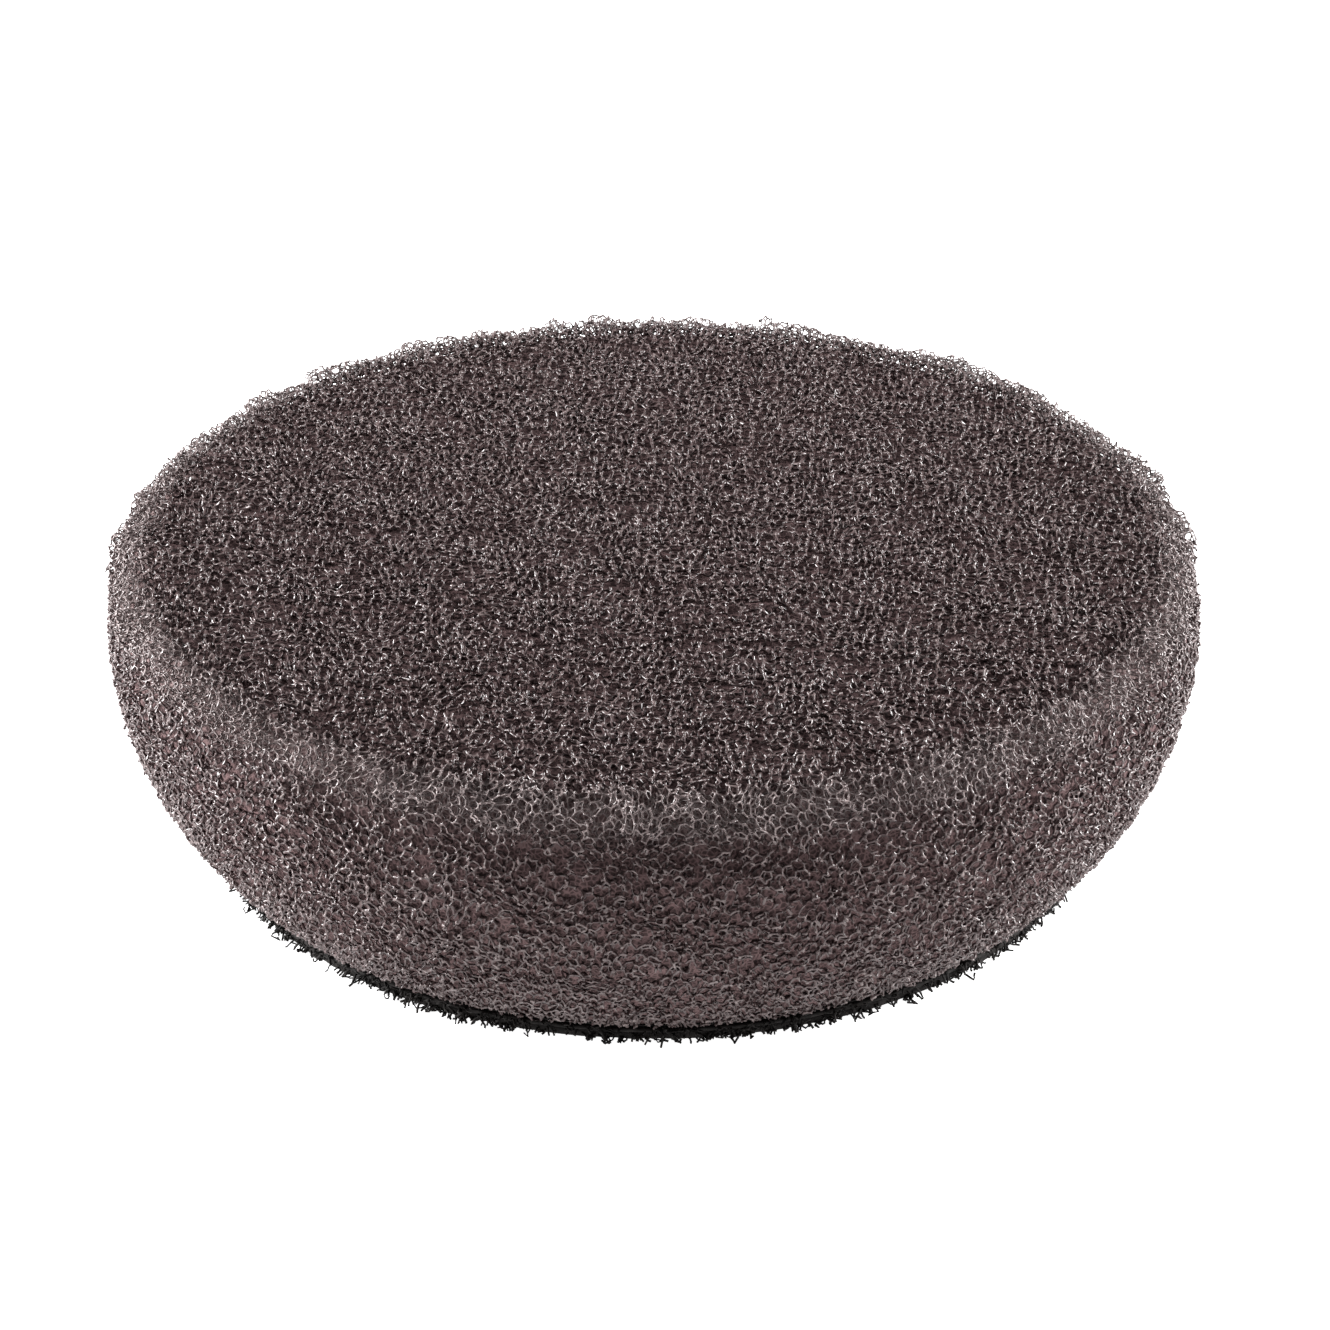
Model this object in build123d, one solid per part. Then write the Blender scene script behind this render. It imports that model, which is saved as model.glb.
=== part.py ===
"""Foam polishing pad for a machine polisher: a tapered disc of open-cell foam with a
hook-and-loop backing bonded to its smaller face.

The pad stands on its loop side. The origin is the centre of the loop side, +Z is the
axis that the pad spins about, and the working face looks up.
"""

from build123d import *
from math import cos, radians, sin
import os

# Driving dimensions, in millimetres and degrees.
FACE_DIAMETER = 90.0        # across the foam where the side wall meets the rounded edge
BASE_DIAMETER = 77.0        # where the foam meets the backing; covers a 75 mm hook plate
PAD_HEIGHT = 25.0           # from the tips of the loops to the working face
EDGE_RADIUS = 2.4           # rounding where the working face turns into the side wall
WALL_BULGE = 2.9            # how far the side wall bows out from a straight taper
BOND_FILM_THICKNESS = 0.2   # hot-melt film that laminates the fabric to the foam
BOND_FILM_INSET = 0.3       # the film stops this far short of the fabric's cut edge
KNIT_THICKNESS = 0.4        # ground of the loop fabric
PILE_THICKNESS = 0.8        # loops that stand out of the knit and take the hooks
PILE_EDGE_INSET = 0.2       # the outer loops lean in a little at the cut edge

# Heights of the layers, from the loop tips up.
KNIT_BOTTOM = PILE_THICKNESS
FILM_BOTTOM = KNIT_BOTTOM + KNIT_THICKNESS
FOAM_BOTTOM = FILM_BOTTOM + BOND_FILM_THICKNESS


def disc(radius, bottom, thickness):
    """A flat round layer of the backing, standing on the height given."""
    base_plane = Plane.XY.offset(bottom)
    return extrude(base_plane * Circle(radius), thickness)


def foam_body():
    """The foam, cut on a lathe from a block: flat face, rounded edge, bowed taper."""
    face_radius = FACE_DIAMETER / 2
    base_radius = BASE_DIAMETER / 2
    edge_start = (face_radius, PAD_HEIGHT - EDGE_RADIUS)
    edge_middle = (
        face_radius - EDGE_RADIUS * (1 - cos(radians(45))),
        PAD_HEIGHT - EDGE_RADIUS * (1 - sin(radians(45))),
    )
    edge_end = (face_radius - EDGE_RADIUS, PAD_HEIGHT)
    wall_foot = (base_radius, FOAM_BOTTOM)
    wall_middle = (
        (base_radius + face_radius) / 2 + WALL_BULGE,
        (FOAM_BOTTOM + edge_start[1]) / 2,
    )
    outline = Curve() + [
        Line((0, FOAM_BOTTOM), wall_foot),
        ThreePointArc(wall_foot, wall_middle, edge_start),
        ThreePointArc(edge_start, edge_middle, edge_end),
        Line(edge_end, (0, PAD_HEIGHT)),
        Line((0, PAD_HEIGHT), (0, FOAM_BOTTOM)),
    ]
    half_section = make_face(Plane.XZ * outline)
    return revolve(half_section, Axis.Z)


def bond_film():
    """Hot-melt film, melted between the foam and the fabric."""
    return disc(BASE_DIAMETER / 2 - BOND_FILM_INSET, FILM_BOTTOM, BOND_FILM_THICKNESS)


def loop_fabric_knit():
    """Ground of the loop fabric, die-cut to the size of the foam's smaller face."""
    return disc(BASE_DIAMETER / 2, KNIT_BOTTOM, KNIT_THICKNESS)


def loop_pile():
    """The envelope of the loops, with its lower edge rounded by the outer loops' lean."""
    pile = disc(BASE_DIAMETER / 2 - PILE_EDGE_INSET, 0, PILE_THICKNESS)
    lower_rim = pile.edges().sort_by(Axis.Z)[0]
    return fillet(lower_rim, PILE_THICKNESS / 2)


SUB_PARTS = {
    "foam_body": foam_body,
    "bond_film": bond_film,
    "loop_fabric_knit": loop_fabric_knit,
    "loop_pile": loop_pile,
}


def main():
    os.makedirs("parts", exist_ok=True)
    for name, make in SUB_PARTS.items():
        solid = make()
        solid.label = name
        export_step(solid, f"parts/{name}.step")
        print(f"{name}: {solid.volume / 1000:.2f} cm3")


main()
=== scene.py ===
"""A foam polishing pad: open-cell foam with a hook-and-loop backing.

The foam's outer cells are real struts, grown on a jittered foam lattice and cut to the pad's
envelope. They stand on a brown heart, which is the inside of the foam. Below it come the
bond film, the knitted ground of the loop fabric and its loops.
"""
from itertools import combinations
from math import cos, pi, radians, sin, sqrt, tau

import bpy
import numpy as np
from mathutils import Euler, Matrix, Vector


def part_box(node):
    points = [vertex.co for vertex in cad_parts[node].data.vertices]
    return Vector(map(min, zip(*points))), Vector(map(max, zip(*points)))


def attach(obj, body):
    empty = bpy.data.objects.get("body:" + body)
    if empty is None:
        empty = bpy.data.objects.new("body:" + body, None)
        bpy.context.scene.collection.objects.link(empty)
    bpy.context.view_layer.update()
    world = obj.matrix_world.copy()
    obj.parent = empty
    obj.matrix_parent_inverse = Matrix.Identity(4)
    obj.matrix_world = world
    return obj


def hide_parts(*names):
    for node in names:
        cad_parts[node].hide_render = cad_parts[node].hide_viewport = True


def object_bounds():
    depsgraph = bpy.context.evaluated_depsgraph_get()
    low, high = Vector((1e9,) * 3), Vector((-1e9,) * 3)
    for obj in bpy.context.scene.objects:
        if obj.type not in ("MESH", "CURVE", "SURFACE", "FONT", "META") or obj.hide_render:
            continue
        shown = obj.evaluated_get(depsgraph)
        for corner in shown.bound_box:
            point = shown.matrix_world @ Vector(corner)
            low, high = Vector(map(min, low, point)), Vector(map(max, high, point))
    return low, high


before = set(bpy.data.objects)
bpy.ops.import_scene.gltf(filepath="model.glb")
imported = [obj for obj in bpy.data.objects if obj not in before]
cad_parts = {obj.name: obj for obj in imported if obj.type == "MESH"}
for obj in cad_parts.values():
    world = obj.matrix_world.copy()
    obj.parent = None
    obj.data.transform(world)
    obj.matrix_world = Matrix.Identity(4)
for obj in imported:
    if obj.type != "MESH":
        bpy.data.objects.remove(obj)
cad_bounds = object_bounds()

bl_info = {
    "name": "Foam Polishing Pad",
    "version": (1, 0, 0),
    "blender": (4, 5, 0),
    "location": "View3D > Sidebar > Polishing Pad",
    "description": "Builds a foam polishing pad with a loop backing around its packed frame",
    "category": "Object",
}

MM = 0.001
BODY = "root"

CUT_NOISE = 0.9 * MM
DRIFT_NOISE = 6 * MM
PROUD_NOISE = 4 * MM
RIM_ONLY = 0.3
RIM_FADE = 1.7 * MM
STUB_LOSS = 0.7
WORLD_LIGHT = 0.29

FOAM_LOW, FOAM_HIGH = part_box("foam_body")
FILM_LOW, FILM_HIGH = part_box("bond_film")
KNIT_LOW, KNIT_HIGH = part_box("loop_fabric_knit")
PILE_LOW, PILE_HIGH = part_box("loop_pile")


def length(name, description, default, **more):
    """A length of the pad, which the sidebar shows in scene units."""
    return bpy.props.FloatProperty(
        name=name, description=description, default=default, unit="LENGTH", precision=5, **more
    )


def colour(name, description, default):
    """A surface colour, in linear red, green, blue and alpha."""
    return bpy.props.FloatVectorProperty(
        name=name, description=description, default=default, size=4, min=0, max=1, subtype="COLOR"
    )


class PadEnvelope(bpy.types.PropertyGroup):
    """The foam's cut shape."""

    face_radius: length("Face radius", "Where the side wall meets the rounded edge", 45 * MM)
    base_radius: length("Base radius", "Where the foam meets its backing", KNIT_HIGH.x)
    edge_radius: length("Edge radius", "Rounding round the working face", 2.4 * MM)
    wall_bulge: length("Wall bulge", "How far the side wall bows out of a straight taper", 2.9 * MM)


class FoamCells(bpy.types.PropertyGroup):
    """The struts of the open-cell foam."""

    cell: length("Cell", "Side of the packing cube that holds two foam cells", 0.98 * MM)
    block_cells: bpy.props.IntProperty(
        name="Block cells", description="Packing cubes along a block of foam", default=9, min=3
    )
    seed: bpy.props.IntProperty(name="Seed", description="Draws another foam", default=5)
    relaxing: bpy.props.IntProperty(
        name="Relaxing", description="Rounds of evening out the struts", default=3, min=0
    )
    strut: length("Strut", "Half the width of a strut", 0.13 * MM)
    rim_thinning: bpy.props.FloatProperty(
        name="Rim thinning", description="Share of a strut's width lost at the rim", default=0.42
    )
    jitter: length("Jitter", "How far a cell's middle strays from its even place", 0.18 * MM)
    drift: length("Drift", "How far whole groups of cells stray together", 0.3 * MM)
    depth: length("Depth", "How deep the open cells go before the heart hides them", 0.56 * MM)
    edge_depth: length("Edge depth", "The same at the rounded edge, where light shines through", 1.45 * MM)
    raggedness: length("Raggedness", "Unevenness of the cut", 0.14 * MM)
    proud: length("Proud cells", "How far single cells stand out of the rim", 0.85 * MM)
    heart_softness: length("Heart softness", "How much rounder than the rim the heart is", 2.3 * MM)
    # Depth over which the pale strut tips fade to the darker strut colour: painted depth shade.
    lit_tip_depth: length("Cut depth", "How far down the pale ends of the struts reach", 0.4 * MM)
    wedges: bpy.props.IntProperty(
        name="Wedges", description="Pieces that the open cells are split into", default=10, min=1
    )
    # Struts below the cut surface keep the darker strut colour as painted depth shade; the cut colour is
    # painted light on the strut tips, with sparse painted glints.
    strut_colour: colour("Strut colour", "Foam a little below its cut surface", (0.066, 0.042, 0.042, 1))
    lit_tip_colour: colour("Cut colour", "Ends of the struts at the cut surface", (0.17, 0.132, 0.128, 1))
    # Painted backlight: the pale rim colour stands for light shining through and glinting on the thin foam
    # at the rounded edge.
    backlit_rim_colour: colour("Rim colour", "Thin, brushed foam round the edge", (0.31, 0.255, 0.25, 1))
    heart_colour: colour("Heart colour", "The inside of the foam", (0.125, 0.08, 0.08, 1))
    # Painted backlight: the heart is paler behind the rim, standing for light scattered through the thin
    # foam there.
    backlit_heart_colour: colour("Heart rim colour", "The inside behind the rim", (0.31, 0.235, 0.23, 1))
    # Painted shade: the pore colour darkens the middles of the heart's pores, standing for shade in deep
    # holes.
    pore_shade_colour: colour("Pore colour", "Pores of the inside", (0.046, 0.029, 0.029, 1))


class LoopFabric(bpy.types.PropertyGroup):
    """The loop fabric and the film that holds it on."""

    loops: bpy.props.IntProperty(
        name="Loops", description="Loops of the pile, under the whole disc", default=1800, min=100
    )
    rim_loops: bpy.props.IntProperty(
        name="Rim loops", description="More loops, close to the cut edge", default=1000, min=0
    )
    frays: bpy.props.IntProperty(
        name="Frays", description="Loose ends that stick out of the cut edge", default=1500, min=0
    )
    strand: length("Strand", "Half the thickness of a loop's strand", 0.085 * MM)
    mat_depth: length("Mat depth", "How far down the packed feet of the loops reach", 0.4 * MM)
    wale: length("Wale", "Distance between the knit's ribs", 0.9 * MM)
    rib: length("Rib", "How far the knit's ribs stand out", 0.05 * MM)
    yarn_colour: colour("Yarn colour", "Black yarn", (0.008, 0.0068, 0.0065, 1))
    worn_colour: colour("Worn colour", "Yarn where it is brushed thin", (0.022, 0.019, 0.018, 1))
    film_colour: colour("Film colour", "Hot-melt film", (0.014, 0.011, 0.011, 1))


class StageSet(bpy.types.PropertyGroup):
    """Floor, lights and camera."""

    elevation: bpy.props.FloatProperty(
        name="Elevation", description="Camera above the floor", default=radians(29.2), subtype="ANGLE"
    )
    distance: length("Distance", "Camera to the pad's middle", 263 * MM)
    lens: bpy.props.FloatProperty(
        name="Lens", description="Focal length in millimetres on a 36 mm frame", default=83.4
    )
    floor_colour: colour("Floor colour", "Pale studio floor", (0.9, 0.9, 0.9, 1))
    floor_glow: bpy.props.FloatProperty(
        name="Floor glow", description="Light of the floor, as of a light table", default=1.0, min=0
    )


def settings():
    return bpy.context.scene


# Shape of the pad


class Envelope:
    """Depth below the foam's cut surface, from its half section."""

    def __init__(self, shape):
        self.top = FOAM_HIGH.z
        self.base = FOAM_LOW.z
        self.edge_radius = shape.edge_radius
        self.edge_r = shape.face_radius - shape.edge_radius
        self.edge_z = self.top - shape.edge_radius
        foot = Vector((shape.base_radius, self.base))
        head = Vector((shape.face_radius, self.edge_z))
        waist = (foot + head) / 2 + Vector((shape.wall_bulge, 0))
        self.wall_centre, self.wall_radius = circle_through(foot, waist, head)

    def depth(self, points):
        """How far under the surface each point is; below zero outside the foam."""
        r = np.hypot(points[:, 0], points[:, 1])
        z = points[:, 2]
        to_face = self.top - z
        to_wall = self.wall_radius - np.hypot(r - self.wall_centre.x, z - self.wall_centre.y)
        to_edge = self.edge_radius - np.hypot(r - self.edge_r, z - self.edge_z)
        at_edge = (r > self.edge_r) & (z > self.edge_z)
        return np.where(at_edge, to_edge, np.minimum(to_face, to_wall))

    def edge_nearness(self, points):
        """1 on the rounded edge, falling to 0 a few millimetres away from it."""
        r = np.hypot(points[:, 0], points[:, 1])
        middle = self.edge_radius / 2
        away = np.hypot(r - self.edge_r - middle, points[:, 2] - self.edge_z - middle)
        return np.clip(1.5 - away / RIM_FADE, 0, 1)


def circle_through(a, b, c):
    """Centre and radius of the circle through three points of a plane."""
    rows = Matrix(((b.x - a.x, b.y - a.y), (c.x - a.x, c.y - a.y)))
    right = Vector(((b.length_squared - a.length_squared) / 2, (c.length_squared - a.length_squared) / 2))
    centre = rows.inverted() @ right
    return centre, (a - centre).length


def smooth_noise(points, size, seed):
    """Soft noise from -1 to 1: a sum of plane waves of about the given length."""
    draw = np.random.default_rng(seed)
    total = np.zeros(len(points))
    for _ in range(14):
        wave = draw.normal(size=3)
        wave *= tau / (size * draw.uniform(0.7, 1.5) * np.linalg.norm(wave))
        total += np.sin(points @ wave + draw.uniform(0, tau))
    return total / 3.8


# Foam lattice


def foam_block(cells):
    """A block of random foam that repeats on all sides: its side, nodes, links and shifts.

    The struts are the edges of the Voronoi cells of seeds set a little off an even packing.
    Every node is as far from four seeds as from any, and four struts meet there. A link leads
    to the node that shares three of those seeds, and its shift counts blocks on the way.
    """
    draw = np.random.default_rng(cells.seed)
    count = cells.block_cells
    side = count * cells.cell
    line = np.arange(count)
    corners = np.stack(np.meshgrid(line, line, line, indexing="ij"), -1).reshape(-1, 3)
    seeds = np.concatenate([corners, corners + 0.5]) * cells.cell
    seeds += draw.normal(size=seeds.shape) * cells.jitter
    near = 32
    trios = np.array(list(combinations(range(near), 3)))
    places, owners = [], []
    for number, seed in enumerate(seeds):
        away = seeds - seed
        away -= side * np.round(away / side)
        order = np.argsort((away**2).sum(1))[1 : near + 1]
        ways = away[order]
        half = (ways**2).sum(1) / 2
        a, b, c = (ways[trios[:, k]] for k in range(3))
        bc, ca, ab = np.cross(b, c), np.cross(c, a), np.cross(a, b)
        volume = (a * bc).sum(1)
        volume[np.abs(volume) < 1e-15] = 1e-15
        ha, hb, hc = (half[trios[:, k], None] for k in range(3))
        meeting = (ha * bc + hb * ca + hc * ab) / volume[:, None]
        free = (meeting @ ways.T <= half + 1e-14).all(1)
        places.append(seed + meeting[free])
        members = np.column_stack([np.full(free.sum(), number), order[trios[free]]])
        owners.append(np.sort(members, axis=1))
    owners, first = np.unique(np.concatenate(owners), axis=0, return_index=True)
    nodes = np.concatenate(places)[first]
    links = np.full((len(nodes), 4), -1)
    shared = np.concatenate([np.delete(owners, slot, axis=1) for slot in range(4)])
    shared = (shared[:, 0] * len(seeds) + shared[:, 1]) * len(seeds) + shared[:, 2]
    order = np.argsort(shared, kind="stable")
    pair = np.nonzero(shared[order][1:] == shared[order][:-1])[0]
    one, two = order[pair], order[pair + 1]
    links[one % len(nodes), one // len(nodes)] = two % len(nodes)
    links[two % len(nodes), two // len(nodes)] = one % len(nodes)
    linked = links >= 0
    for _ in range(cells.relaxing):
        steps = nodes[links] - nodes[:, None, :]
        steps -= side * np.round(steps / side)
        nodes = nodes + (steps * linked[:, :, None]).mean(1) * 0.5
    shifts = -np.round((nodes[links] - nodes[:, None, :]) / side).astype(int)
    return side, nodes, links, shifts


def fill_skin(cells, envelope):
    """Places and links of the foam's nodes, in the skin under its cut surface."""
    side, nodes, links, shifts = foam_block(cells)
    turn = np.array(Euler((0.53, 0.31, 0.17)).to_matrix())
    margin = cells.cell
    count = int(np.ceil(FOAM_HIGH.x * sqrt(3) / side)) + 1
    line = np.arange(-count, count + 1)
    tiles = np.stack(np.meshgrid(line, line, line, indexing="ij"), -1).reshape(-1, 3)
    width = 2 * count + 1
    centres = (tiles + 0.5) @ turn.T * side
    span = side * sqrt(3) / 2
    depth = envelope.depth(centres)
    met = (depth > -span) & (depth < span + cells.edge_depth) & (centres[:, 2] > envelope.base - span)
    places, marks, ahead = [], [], []
    for tile in tiles[met]:
        place = (nodes + tile * side) @ turn.T
        depth = envelope.depth(place)
        kept = (depth > -margin) & (depth < cells.edge_depth + margin)
        kept &= place[:, 2] > envelope.base - margin
        kept = np.nonzero(kept)[0]
        places.append(place[kept])
        marks.append(tile_mark(tile, width) * len(nodes) + kept)
        mark = tile_mark(tile + shifts[kept], width) * len(nodes) + links[kept]
        ahead.append(np.where(links[kept] >= 0, mark, -1))
    place, marks, ahead = (np.concatenate(rows) for rows in (places, marks, ahead))
    order = np.argsort(marks)
    found = order[np.clip(np.searchsorted(marks[order], ahead), 0, len(marks) - 1)]
    return place, np.where(marks[found] == ahead, found, -1)


def tile_mark(tile, width):
    """One number for each block of the packing."""
    moved = tile + width // 2
    return (moved[..., 0] * width + moved[..., 1]) * width + moved[..., 2]


def grow_foam(cells, envelope):
    """The foam's nodes: place, four links, depth, nearness to the rim, and whether it is kept.

    Near the rim, a node that would hang on a single strut is left out, which leaves
    more whole cells there.
    """
    place, links = fill_skin(cells, envelope)
    still = place.copy()
    for axis in range(3):
        place[:, axis] += smooth_noise(still, DRIFT_NOISE, 20 + axis) * cells.drift
    cut = smooth_noise(place, CUT_NOISE, 41) * cells.raggedness
    rim = envelope.edge_nearness(place)
    stray = np.maximum(smooth_noise(place, PROUD_NOISE, 57), 0) * rim * cells.proud
    depth = envelope.depth(place) - cut + stray
    floor = cells.depth + (cells.edge_depth - cells.depth) * rim + stray
    inside = (depth > 0) & (depth < floor) & (place[:, 2] > envelope.base)
    inside &= (links >= 0).all(1)
    for _ in range(2):
        inside &= (rim < RIM_ONLY) | (inside[links].sum(1) > 1)
    anchored = inside & (depth > floor - cells.cell * 0.4)
    for _ in range(8):
        anchored |= inside & anchored[links].any(1)
    return place, links, depth, rim, anchored


def strut_mesh(place, links, depth, kept, strut, stub_length, choose):
    """Corners, faces and owning nodes of the closed three-sided struts whose middle is chosen.

    A strut that the cut went through ends in a stub, which stub_length shortens.
    Four corners stand round each node, one opposite each strut, so that a strut joins the
    triangle of corners on its side of one node to that of the next.
    """
    toward = place[links] - place[:, None, :]
    toward /= np.maximum(np.linalg.norm(toward, axis=2, keepdims=True), 1e-9)
    corners = place[:, None, :] - toward * strut[:, None, None]
    triples = np.array([[1, 2, 3], [0, 3, 2], [0, 1, 3], [0, 2, 1]])
    ring = np.empty((len(place), 4, 3), int)
    for slot in range(4):
        trio = np.tile(triples[slot], (len(place), 1))
        a, b, c = (corners[np.arange(len(place)), trio[:, k]] for k in range(3))
        flipped = np.einsum("ij,ij->i", np.cross(b - a, c - a), toward[:, slot]) < 0
        trio[flipped] = trio[flipped][:, [0, 2, 1]]
        ring[:, slot] = trio
    ring += 4 * np.arange(len(place))[:, None, None]

    start, slot = np.nonzero(links >= 0)
    end = links[start, slot]
    back = np.argmax(links[end] == start[:, None], axis=1)
    returns = links[end, back] == start
    middle = (place[start] + place[end]) / 2
    picked = kept[start] & returns & choose(middle)
    whole = picked & kept[end] & (start < end)
    points = corners.reshape(-1, 3)
    first = ring[start[whole], slot[whole]]
    second = ring[end[whole], back[whole]][:, [0, 2, 1]]
    axis = place[end[whole]] - place[start[whole]]
    best = match_rings(points, first, second, axis)
    quads = [quad_band(first, best)]

    open_end = picked & ~kept[end]
    stub = open_end & (depth[end] < 0)
    base = ring[start[stub], slot[stub]]
    reach = depth[start[stub]] / (depth[start[stub]] - depth[end[stub]])
    reach = np.clip(reach, 0.12, 1) * stub_length[start[stub]]
    along = (place[end[stub]] - place[start[stub]]) * reach[:, None]
    tips = place[start[stub]][:, None, :] + (points[base] - place[start[stub]][:, None, :]) * 0.8
    tips += along[:, None, :] * 0.9
    tip_ring = len(points) + np.arange(3 * stub.sum()).reshape(-1, 3)
    quads.append(quad_band(base, tip_ring))
    points = np.concatenate([points, tips.reshape(-1, 3)])

    used_nodes = np.zeros(len(place), bool)
    used_nodes[start[picked]] = True
    used_nodes[end[whole]] = True
    has_strut = np.zeros((len(place), 4), bool)
    has_strut[start[whole | stub], slot[whole | stub]] = True
    has_strut[end[whole], back[whole]] = True
    n, s = np.nonzero(used_nodes[:, None] & ~has_strut)
    owners = np.concatenate([np.repeat(np.arange(len(place)), 4), np.repeat(start[stub], 3)])
    return points, np.concatenate(quads), np.concatenate([ring[n, s], tip_ring]), owners


def match_rings(points, first, second, axis):
    """The second ring, turned so that its corners face the first ring's with the least twist."""
    axis = axis / np.linalg.norm(axis, axis=1, keepdims=True)
    best = None
    for turn in range(3):
        trial = np.roll(second, turn, axis=1)
        across = points[trial] - points[first]
        across -= np.einsum("ijk,ik->ij", across, axis)[..., None] * axis[:, None, :]
        twist = (across**2).sum((1, 2))
        if best is None:
            best, least = trial, twist
        else:
            better = twist < least
            best = np.where(better[:, None], trial, best)
            least = np.minimum(least, twist)
    return best


def quad_band(first, second):
    """The three side faces between two rings of three corners."""
    sides = [
        np.stack([first[:, k], first[:, (k + 1) % 3], second[:, (k + 1) % 3], second[:, k]], 1)
        for k in range(3)
    ]
    return np.concatenate(sides)


def mesh_object(name, points, quads, triangles, shades=None):
    """A smooth-shaded object from corners and faces, with named shades on its corners."""
    used, index = np.unique(np.concatenate([quads.ravel(), triangles.ravel()]), return_inverse=True)
    loops = np.concatenate([index[: quads.size], index[quads.size :]])
    sizes = np.concatenate([np.full(len(quads), 4), np.full(len(triangles), 3)])
    starts = np.concatenate([[0], np.cumsum(sizes)[:-1]])
    mesh = bpy.data.meshes.new(name)
    mesh.vertices.add(len(used))
    mesh.vertices.foreach_set("co", points[used].astype(np.float32).ravel())
    mesh.loops.add(len(loops))
    mesh.loops.foreach_set("vertex_index", loops.astype(np.int32))
    mesh.polygons.add(len(sizes))
    mesh.polygons.foreach_set("loop_start", starts.astype(np.int32))
    mesh.polygons.foreach_set("use_smooth", np.ones(len(sizes), bool))
    mesh.update(calc_edges=True)
    for shade, values in (shades or {}).items():
        layer = mesh.attributes.new(shade, "FLOAT", "POINT")
        layer.data.foreach_set("value", values[used].astype(np.float32))
    mesh.validate()
    made = bpy.data.objects.new(name, mesh)
    bpy.context.collection.objects.link(made)
    return made


# Materials


def new_material(name):
    """A node material, with its tree and its Principled shader."""
    material = bpy.data.materials.new(name)
    material.use_nodes = True
    tree = material.node_tree
    return material, tree, tree.nodes["Principled BSDF"]


def add_node(tree, kind, **values):
    """A node with its named inputs and properties set."""
    node = tree.nodes.new(kind)
    for key, value in values.items():
        if key in node.inputs:
            node.inputs[key].default_value = value
        else:
            setattr(node, key, value)
    return node


def add_mix(tree, share, first, second):
    """A colour mixed from two, each a colour or an output, by an output from 0 to 1."""
    mix = add_node(tree, "ShaderNodeMix", data_type="RGBA", clamp_factor=True)
    tree.links.new(share, mix.inputs[0])
    for socket, value in ((mix.inputs[6], first), (mix.inputs[7], second)):
        if isinstance(value, bpy.types.NodeSocket):
            tree.links.new(value, socket)
        else:
            socket.default_value = value
    return mix.outputs[2]


def foam_material(cells):
    """Brown-grey foam with painted light: strut ends at the cut surface are paler, with sparse painted
    glints, deeper struts darker as painted depth shade, and the rim palest as painted backlight.
    """
    material, tree, shader = new_material("foam_struts")
    place = add_node(tree, "ShaderNodeTexCoord").outputs["Object"]
    patch = add_node(tree, "ShaderNodeTexNoise", Scale=1600.0, Detail=2.0)
    tree.links.new(place, patch.inputs["Vector"])
    cut = add_node(tree, "ShaderNodeAttribute", attribute_name="cut").outputs["Fac"]
    rim = add_node(tree, "ShaderNodeAttribute", attribute_name="rim").outputs["Fac"]
    # Painted glints and depth shade: share of the pale tip colour, from the per-node cut attribute and
    # noise.
    glint_and_depth_shade = add_node(tree, "ShaderNodeMath", operation="MULTIPLY_ADD")
    glint_and_depth_shade.inputs[1].default_value = 0.9
    tree.links.new(patch.outputs["Fac"], glint_and_depth_shade.inputs[0])
    tree.links.new(cut, glint_and_depth_shade.inputs[2])
    pale = add_node(tree, "ShaderNodeMath", operation="SUBTRACT", use_clamp=True)
    tree.links.new(glint_and_depth_shade.outputs[0], pale.inputs[0])
    pale.inputs[1].default_value = 0.45
    # Painted backlight: up to 0.45 of the pale rim colour near the rounded edge.
    brushed = add_node(tree, "ShaderNodeMath", operation="MULTIPLY", use_clamp=True)
    tree.links.new(rim, brushed.inputs[0])
    brushed.inputs[1].default_value = 0.45
    body = add_mix(tree, pale.outputs[0], cells.strut_colour, cells.lit_tip_colour)
    whole = add_mix(tree, brushed.outputs[0], body, cells.backlit_rim_colour)
    tree.links.new(whole, shader.inputs["Base Color"])
    shader.inputs["Roughness"].default_value = 0.34
    shader.inputs["Specular IOR Level"].default_value = 0.45
    return material


def heart_material(cells):
    """Matt brown foam inside, with painted shade dark in its pores and painted backlight paler behind the
    rim.
    """
    material, tree, shader = new_material("foam_heart")
    place = add_node(tree, "ShaderNodeTexCoord").outputs["Object"]
    pores = add_node(tree, "ShaderNodeTexVoronoi", Scale=2500.0, feature="DISTANCE_TO_EDGE")
    rim = add_node(tree, "ShaderNodeAttribute", attribute_name="rim").outputs["Fac"]
    ramp = add_node(tree, "ShaderNodeValToRGB")
    ramp.color_ramp.elements[0].position = 0.03
    ramp.color_ramp.elements[1].position = 0.2
    ramp.color_ramp.elements[0].color = (0, 0, 0, 1)
    ramp.color_ramp.elements[1].color = (1, 1, 1, 1)
    bump = add_node(tree, "ShaderNodeBump", invert=True, Strength=0.8, Distance=0.15 * MM)
    tree.links.new(place, pores.inputs["Vector"])
    tree.links.new(pores.outputs["Distance"], ramp.inputs["Fac"])
    tree.links.new(pores.outputs["Distance"], bump.inputs["Height"])
    # Painted backlight: the heart's colour turns paler near the rim.
    walls = add_mix(tree, rim, cells.heart_colour, cells.backlit_heart_colour)
    # Painted shade: pore middles darken to the pore shade colour, less so near the rim, where painted
    # backlight lifts them.
    painted_pore_shade = add_mix(tree, rim, cells.pore_shade_colour, cells.heart_colour)
    whole = add_mix(tree, ramp.outputs["Color"], walls, painted_pore_shade)
    tree.links.new(whole, shader.inputs["Base Color"])
    tree.links.new(bump.outputs["Normal"], shader.inputs["Normal"])
    shader.inputs["Roughness"].default_value = 0.9
    shader.inputs["Specular IOR Level"].default_value = 0.1
    return material


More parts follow.
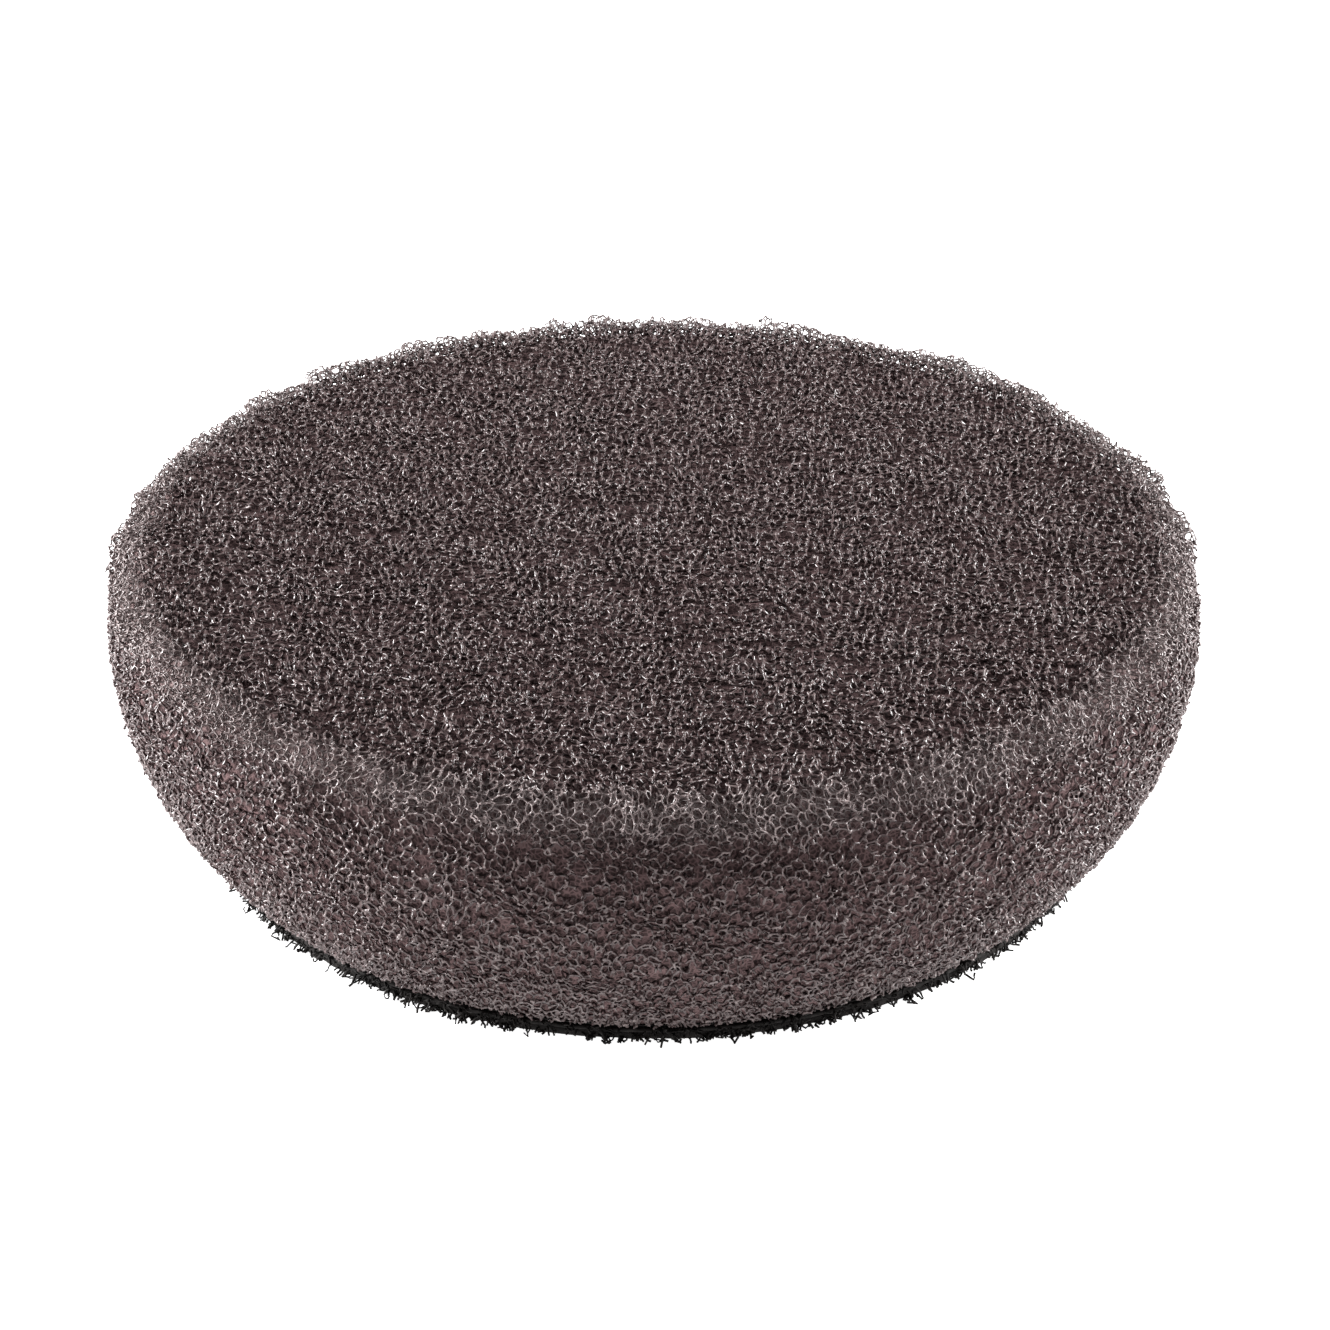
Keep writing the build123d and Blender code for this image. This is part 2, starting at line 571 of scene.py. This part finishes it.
def film_material(fabric):
    material, tree, shader = new_material("bond_film")
    place = add_node(tree, "ShaderNodeTexCoord").outputs["Object"]
    mottle = add_node(tree, "ShaderNodeTexNoise", Scale=700.0, Detail=3.0)
    ramp = add_node(tree, "ShaderNodeValToRGB")
    ramp.color_ramp.elements[0].color = [0.5 * c for c in fabric.film_colour[:3]] + [1]
    ramp.color_ramp.elements[1].color = fabric.film_colour
    tree.links.new(place, mottle.inputs["Vector"])
    tree.links.new(mottle.outputs["Fac"], ramp.inputs["Fac"])
    tree.links.new(ramp.outputs["Color"], shader.inputs["Base Color"])
    shader.inputs["Roughness"].default_value = 0.55
    shader.inputs["Specular IOR Level"].default_value = 0.2
    return material


def yarn_material(name, fabric, patch_size):
    """Black yarn, a little greyer where it is brushed."""
    material, tree, shader = new_material(name)
    place = add_node(tree, "ShaderNodeTexCoord").outputs["Object"]
    patch = add_node(tree, "ShaderNodeTexNoise", Scale=1 / patch_size, Detail=4.0)
    ramp = add_node(tree, "ShaderNodeValToRGB")
    ramp.color_ramp.elements[0].position = 0.4
    ramp.color_ramp.elements[1].position = 0.75
    ramp.color_ramp.elements[0].color = fabric.yarn_colour
    ramp.color_ramp.elements[1].color = fabric.worn_colour
    fibres = add_node(tree, "ShaderNodeTexNoise", Scale=12000.0, Detail=2.0)
    bump = add_node(tree, "ShaderNodeBump", Strength=0.3, Distance=0.02 * MM)
    tree.links.new(place, patch.inputs["Vector"])
    tree.links.new(place, fibres.inputs["Vector"])
    tree.links.new(patch.outputs["Fac"], ramp.inputs["Fac"])
    tree.links.new(ramp.outputs["Color"], shader.inputs["Base Color"])
    tree.links.new(fibres.outputs["Fac"], bump.inputs["Height"])
    tree.links.new(bump.outputs["Normal"], shader.inputs["Normal"])
    shader.inputs["Roughness"].default_value = 0.75
    shader.inputs["Specular IOR Level"].default_value = 0.15
    return material


class PAD_OT_foam_cells(bpy.types.Operator):
    """Grow the open cells of the foam's outer skin"""

    bl_idname = "pad.foam_cells"
    bl_label = "Foam Cells"

    def execute(self, context):
        cells = settings().pad_foam
        envelope = Envelope(settings().pad_envelope)
        place, links, depth, rim, kept = grow_foam(cells, envelope)
        material = foam_material(cells)
        draw = np.random.default_rng(3)
        # Painted light: cut is 1 at the cut surface and fades to 0 deeper down as painted depth shade,
        # times a random square per node for sparse painted glints.
        cut = np.clip(1 - depth / cells.lit_tip_depth, 0, 1) * draw.uniform(size=len(place)) ** 2
        strut = cells.strut * draw.uniform(0.8, 1.2, len(place)) * (1 - cells.rim_thinning * rim)
        stub_length = 1 - STUB_LOSS * rim
        for wedge in range(cells.wedges):

            def choose(middle):
                turn = (np.arctan2(middle[:, 1], middle[:, 0]) / tau) % 1
                return (turn * cells.wedges).astype(int) == wedge

            points, quads, triangles, owners = strut_mesh(
                place, links, depth, kept, strut, stub_length, choose
            )
            shades = {"cut": cut[owners], "rim": rim[owners]}
            made = mesh_object(f"foam_cells_{wedge + 1}", points, quads, triangles, shades)
            made.data.materials.append(material)
            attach(made, BODY)
            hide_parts("foam_body")
        return {"FINISHED"}


class PAD_OT_foam_heart(bpy.types.Operator):
    """Spin the inside of the foam"""

    bl_idname = "pad.foam_heart"
    bl_label = "Foam Heart"

    def execute(self, context):
        cells = settings().pad_foam
        envelope = Envelope(settings().pad_envelope)
        made = lathe("foam_heart", heart_outline(envelope, cells), 180)
        unevenness(made, 2.2 * MM, 0.2 * MM)
        # The rim nearness drives the heart's painted backlight and lighter pores behind the rim.
        layer = made.data.attributes.new("rim", "FLOAT", "POINT")
        layer.data.foreach_set("value", envelope.edge_nearness(vertex_places(made)))
        made.data.materials.append(heart_material(cells))
        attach(made, BODY)
        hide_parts("foam_body")
        return {"FINISHED"}


class PAD_OT_bond_film(bpy.types.Operator):
    """Spin the film that bonds the fabric to the foam"""

    bl_idname = "pad.bond_film"
    bl_label = "Bond Film"

    def execute(self, context):
        radius = FILM_HIGH.x
        bead = (FILM_HIGH.z - FILM_LOW.z) / 2
        middle = (FILM_HIGH.z + FILM_LOW.z) / 2
        rim = [
            (radius - bead + bead * cos(turn), middle + bead * sin(turn))
            for turn in np.linspace(-pi / 2, pi / 2, 7)
        ]
        made = lathe("melted_film", rim, 120)
        unevenness(made, 3 * MM, 0.12 * MM)
        made.data.materials.append(film_material(settings().pad_fabric))
        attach(made, BODY)
        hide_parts("bond_film")
        return {"FINISHED"}


class PAD_OT_loop_fabric(bpy.types.Operator):
    """Knit the ground of the fabric and stand its loops on it"""

    bl_idname = "pad.loop_fabric"
    bl_label = "Loop Fabric"

    def execute(self, context):
        fabric = settings().pad_fabric
        knit = knit_ground(fabric)
        knit.data.materials.append(yarn_material("knit_yarn", fabric, fabric.wale))
        pile = loop_pile(fabric)
        pile.data.materials.append(yarn_material("pile_yarn", fabric, 3 * MM))
        for made, slot, node in ((knit, "knit", "loop_fabric_knit"), (pile, "pile", "loop_pile")):
            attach(made, BODY)
            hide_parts(node)
        return {"FINISHED"}


def knit_ground(fabric):
    """The knitted disc: ribs on its loop side, and a soft cut edge."""
    radius = KNIT_HIGH.x
    low = KNIT_LOW.z + fabric.rib
    bead = (KNIT_HIGH.z - low) / 2
    rings = np.linspace(0.3 * MM, radius - bead, int(radius / fabric.wale * 1.5))
    outline = [(r, low) for r in rings[:-1]]
    outline += [
        (radius - bead + bead * cos(turn), low + bead + bead * sin(turn))
        for turn in np.linspace(-pi / 2, pi / 2, 7)
    ]
    made = lathe("knit_ground", outline, 240)
    unevenness(made, 0.5 * MM, 0.14 * MM)
    places = vertex_places(made)
    under = places[:, 2] < low + 0.02 * MM
    rib = np.abs(np.sin(places[:, 0] * pi / fabric.wale))
    course = 0.5 + 0.5 * np.sin(places[:, 1] * tau / (0.7 * fabric.wale) + np.sin(places[:, 0] * 9000))
    places[under, 2] -= fabric.rib * (rib * (0.6 + 0.4 * course))[under]
    set_vertex_places(made, places)
    return made


def loop_line(draw, foot, height, width, lean):
    """The middle line of a loop that hangs from the knit at its foot and leans over."""
    bend = np.linspace(0.15 * pi, 0.85 * pi, 5)
    line = np.column_stack([-width / 2 * np.cos(bend), np.zeros(5), -height * np.sin(bend) ** 0.6])
    line += draw.normal(size=line.shape) * (0.12 * width, 0.2 * width, 0.06 * height)
    line = line @ np.array(Matrix.Rotation(draw.uniform(0, tau), 3, "Z")).T
    line[:, :2] -= line[:, 2:] * lean
    return line + foot


def fray_line(draw, foot, reach, outward, fall):
    """The middle line of a loose end that leaves the cut edge and curls down, or up."""
    across = Vector((-outward[1], outward[0])) * draw.normal() * 1.6
    way = Vector((outward[0] + across[0], outward[1] + across[1])).normalized()
    steps = np.linspace(0, 1, 4)
    line = np.column_stack(
        [way.x * reach * steps, way.y * reach * steps, -fall * reach * steps**1.5]
    )
    line += draw.normal(size=line.shape) * 0.07 * reach
    return line + foot


def loop_pile(fabric):
    """Brushed loops and frayed ends, each a three-sided strand, on the mat of their feet."""
    draw = np.random.default_rng(11)
    ceiling = KNIT_LOW.z + fabric.rib
    edge = PILE_HIGH.x
    low = PILE_LOW.z + fabric.strand
    lines = []
    for number in range(fabric.loops + fabric.rim_loops):
        at_rim = number >= fabric.loops
        turn = draw.uniform(0, tau)
        out = edge * (draw.uniform(0.96, 0.998) if at_rim else sqrt(draw.uniform(0, 0.98)))
        outward = np.array((cos(turn), sin(turn)))
        lean = draw.normal(size=2) * 0.35
        if at_rim:
            lean += outward * draw.uniform(0, 1.3)
        foot = (out * outward[0], out * outward[1], ceiling)
        height = (ceiling - low) * draw.uniform(0.75, 1.0)
        lines.append(loop_line(draw, foot, height, draw.uniform(0.6, 1.1) * MM, lean))
    for _ in range(fabric.frays):
        turn = draw.uniform(0, tau)
        outward = np.array((cos(turn), sin(turn)))
        height = low + draw.uniform(0.1, 1) * (FILM_HIGH.z - low)
        out = KNIT_HIGH.x if height > KNIT_LOW.z else edge
        foot = (out * outward[0], out * outward[1], height)
        tuft = (0.5 + 0.5 * sin(37 * turn + 3 * sin(11 * turn))) ** 2
        reach = (0.25 + (0.3 + 0.6 * tuft) * draw.uniform()) * MM
        fall = draw.uniform(-0.7 if height > KNIT_LOW.z else 0.3, 1.3)
        lines.append(fray_line(draw, foot, reach, outward, fall))
    points, quads, ends = [], [], []
    total = 0
    for line in lines:
        line[:, 2] = np.clip(line[:, 2], low, FILM_HIGH.z + 0.3 * MM)
        rings = tube_rings(line, fabric.strand * draw.uniform(0.8, 1.4), 3)
        index = total + np.arange(rings.shape[0] * 3).reshape(-1, 3)
        quads.append(quad_band(index[:-1], index[1:]))
        ends.append(index[[0, -1]])
        ends[-1][0] = ends[-1][0][::-1]
        points.append(rings.reshape(-1, 3))
        total += index.size
    strands = mesh_object("pile_loops", *(np.concatenate(rows) for rows in (points, quads, ends)))
    mat = pile_mat(fabric)
    deselect_all()
    mat.select_set(True)
    strands.select_set(True)
    bpy.context.view_layer.objects.active = strands
    bpy.ops.object.join()
    return strands


def pile_mat(fabric):
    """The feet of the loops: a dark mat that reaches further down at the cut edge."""
    top = KNIT_LOW.z + fabric.rib
    middle = KNIT_LOW.z - fabric.mat_depth
    low = PILE_LOW.z + 0.1 * MM
    radius = PILE_HIGH.x
    bead = 0.2 * MM
    outline = [(r, middle) for r in np.linspace(1 * MM, radius - 1.4 * MM, 24)]
    outline += [(radius - 1.1 * MM, (middle + low) / 2), (radius - 0.8 * MM, low)]
    outline += [
        (radius - bead + bead * cos(turn), low + bead + bead * sin(turn))
        for turn in np.linspace(-pi / 2, 0, 4)
    ]
    outline += [(radius, (low + top) / 2), (radius, top)]
    mat = lathe("pile_mat", outline, 260)
    unevenness(mat, 0.5 * MM, 0.2 * MM)
    return mat


def tube_rings(line, radius, sides):
    """Corners of a tube round a line, one ring for each point."""
    along = np.gradient(line, axis=0)
    along /= np.linalg.norm(along, axis=1, keepdims=True)
    across = np.cross(along, (0.31, 0.52, 0.79))
    across /= np.linalg.norm(across, axis=1, keepdims=True)
    third = np.cross(along, across)
    turns = tau * np.arange(sides) / sides
    return line[:, None, :] + radius * (
        across[:, None, :] * np.cos(turns)[:, None] + third[:, None, :] * np.sin(turns)[:, None]
    )


def vertex_places(made):
    places = np.empty(len(made.data.vertices) * 3)
    made.data.vertices.foreach_get("co", places)
    return places.reshape(-1, 3)


def set_vertex_places(made, places):
    made.data.vertices.foreach_set("co", places.ravel())
    made.data.update()


def unevenness(made, size, amount):
    """Push the surface in and out a little, in soft patches."""
    deselect_all()
    made.select_set(True)
    bpy.context.view_layer.objects.active = made
    clouds = bpy.data.textures.new(made.name + "_unevenness", "CLOUDS")
    clouds.noise_scale = size
    swell = made.modifiers.new("unevenness", "DISPLACE")
    swell.texture = clouds
    swell.texture_coords = "LOCAL"
    swell.strength = amount
    bpy.ops.object.modifier_apply(modifier=swell.name)


def deselect_all():
    if bpy.context.object and bpy.context.object.mode != "OBJECT":
        bpy.ops.object.mode_set(mode="OBJECT")
    bpy.ops.object.select_all(action="DESELECT")


def heart_outline(envelope, cells):
    """Half section of the heart, from the foot of its wall to the flat of its top."""
    inset = cells.depth * 0.9
    foot = envelope.base + 0.02 * MM
    points = []
    heights = np.linspace(foot, envelope.edge_z, 14)
    for z in heights:
        r = envelope.wall_centre.x + sqrt(envelope.wall_radius**2 - (z - envelope.wall_centre.y) ** 2)
        points.append((r - inset, z))
    soft = envelope.edge_radius + cells.heart_softness
    top = envelope.top - inset
    last_r = points[-1][0]
    points = [p for p in points if p[1] < top - soft]
    for turn in np.linspace(0, pi / 2, 9):
        points.append((last_r - soft * (1 - cos(turn)), top - soft * (1 - sin(turn))))
    return points


def lathe(name, outline, steps):
    """Spin a half section into a closed body, flat at its foot and its top.

    Its first and last points may lie anywhere off the axis, and each is closed by a round face
    of rings that shrink to a small one in the middle.
    """
    deselect_all()
    foot, head = outline[0], outline[-1]
    spacing = 1.8 * MM
    foot_rings = [(r, foot[1]) for r in cap_radii(foot[0], spacing)][::-1]
    head_rings = [(r, head[1]) for r in cap_radii(head[0], spacing)]
    rings = foot_rings + list(outline) + head_rings
    first_r, first_z = rings[0]
    bpy.ops.mesh.primitive_circle_add(
        vertices=steps, radius=first_r, fill_type="NGON", location=(0, 0, first_z)
    )
    made = bpy.context.object
    made.name = name
    made.data.name = name
    bpy.ops.object.transform_apply(location=True, rotation=True, scale=True)
    bpy.ops.object.mode_set(mode="EDIT")
    bpy.ops.mesh.select_all(action="SELECT")
    for (r0, z0), (r1, z1) in zip(rings, rings[1:]):
        bpy.ops.mesh.extrude_region_move(TRANSFORM_OT_translate={"value": (0, 0, z1 - z0)})
        bpy.ops.transform.resize(value=(r1 / r0, r1 / r0, 1), center_override=(0, 0, z1))
    bpy.ops.mesh.select_all(action="SELECT")
    bpy.ops.mesh.normals_make_consistent(inside=False)
    bpy.ops.object.mode_set(mode="OBJECT")
    bpy.ops.object.shade_smooth()
    return made


def cap_radii(radius, spacing):
    """Radii of a flat cap's rings, from just inside its rim to the middle."""
    count = max(int(radius / spacing), 1)
    return [radius * (1 - k / count) for k in range(1, count)] + [radius * 0.3 / count]


class PAD_OT_stage(bpy.types.Operator):
    """Set the floor, the lights and the camera"""

    bl_idname = "pad.stage"
    bl_label = "Stage"

    def execute(self, context):
        stage = settings().pad_stage
        deselect_all()
        bpy.ops.mesh.primitive_plane_add(size=12)
        floor = bpy.context.object
        floor.name = "floor"
        material, tree, shader = new_material("studio_floor")
        shader.inputs["Base Color"].default_value = stage.floor_colour
        shader.inputs["Roughness"].default_value = 0.9
        shader.inputs["Emission Color"].default_value = (1, 1, 1, 1)
        shader.inputs["Emission Strength"].default_value = stage.floor_glow
        floor.data.materials.append(material)
        world = bpy.data.worlds.new("studio")
        bpy.context.scene.world = world
        bpy.context.scene.view_settings.view_transform = "Standard"
        world.use_nodes = True
        world.node_tree.nodes["Background"].inputs["Color"].default_value = (1, 1, 1, 1)
        world.node_tree.nodes["Background"].inputs["Strength"].default_value = WORLD_LIGHT
        middle = Vector((0, 0, (cad_bounds[0][2] + cad_bounds[1][2]) / 2))
        soft_light("left_light", (-0.42, 0.04, 0.14), middle, 0.15, 6)
        soft_light("right_light", (0.42, 0.06, 0.14), middle, 0.15, 5)
        back = Vector((0, -cos(stage.elevation), sin(stage.elevation)))
        camera_data = bpy.data.cameras.new("camera")
        camera = bpy.data.objects.new("camera", camera_data)
        bpy.context.collection.objects.link(camera)
        camera.location = middle + back * stage.distance
        camera.rotation_euler = (-back).to_track_quat("-Z", "Y").to_euler()
        camera_data.lens = stage.lens
        camera_data.sensor_width = 36
        camera_data.shift_x = 0.0086
        camera_data.shift_y = -0.0083
        bpy.context.scene.camera = camera
        return {"FINISHED"}


def soft_light(name, place, target, size, power):
    light = bpy.data.lights.new(name, "AREA")
    light.shape = "SQUARE"
    light.size = size
    light.energy = power
    lamp = bpy.data.objects.new(name, light)
    bpy.context.collection.objects.link(lamp)
    lamp.location = place
    lamp.rotation_euler = (target - Vector(place)).to_track_quat("-Z", "Y").to_euler()


GROUPS = {
    "pad_envelope": PadEnvelope,
    "pad_foam": FoamCells,
    "pad_fabric": LoopFabric,
    "pad_stage": StageSet,
}
OPERATORS = (
    PAD_OT_foam_cells,
    PAD_OT_foam_heart,
    PAD_OT_bond_film,
    PAD_OT_loop_fabric,
    PAD_OT_stage,
)


class PAD_PT_sidebar(bpy.types.Panel):
    """Sizes and build steps of the polishing pad"""

    bl_idname = "PAD_PT_sidebar"
    bl_label = "Polishing Pad"
    bl_space_type = "VIEW_3D"
    bl_region_type = "UI"
    bl_category = "Polishing Pad"

    def draw(self, context):
        for operator in OPERATORS:
            self.layout.operator(operator.bl_idname)
        for group in GROUPS:
            box = self.layout.box()
            for name in getattr(context.scene, group).bl_rna.properties.keys():
                if name not in ("rna_type", "name"):
                    box.prop(getattr(context.scene, group), name)


def register():
    for group in GROUPS.values():
        bpy.utils.register_class(group)
    for operator in OPERATORS:
        bpy.utils.register_class(operator)
    bpy.utils.register_class(PAD_PT_sidebar)
    for name, group in GROUPS.items():
        setattr(bpy.types.Scene, name, bpy.props.PointerProperty(type=group))


def unregister():
    for name in GROUPS:
        delattr(bpy.types.Scene, name)
    bpy.utils.unregister_class(PAD_PT_sidebar)
    for operator in reversed(OPERATORS):
        bpy.utils.unregister_class(operator)
    for group in reversed(GROUPS.values()):
        bpy.utils.unregister_class(group)


def main():
    register()
    bpy.ops.pad.foam_cells()
    bpy.ops.pad.foam_heart()
    bpy.ops.pad.bond_film()
    bpy.ops.pad.loop_fabric()
    bpy.ops.pad.stage()
    bpy.context.view_layer.update()


if __name__ == "__main__":
    main()
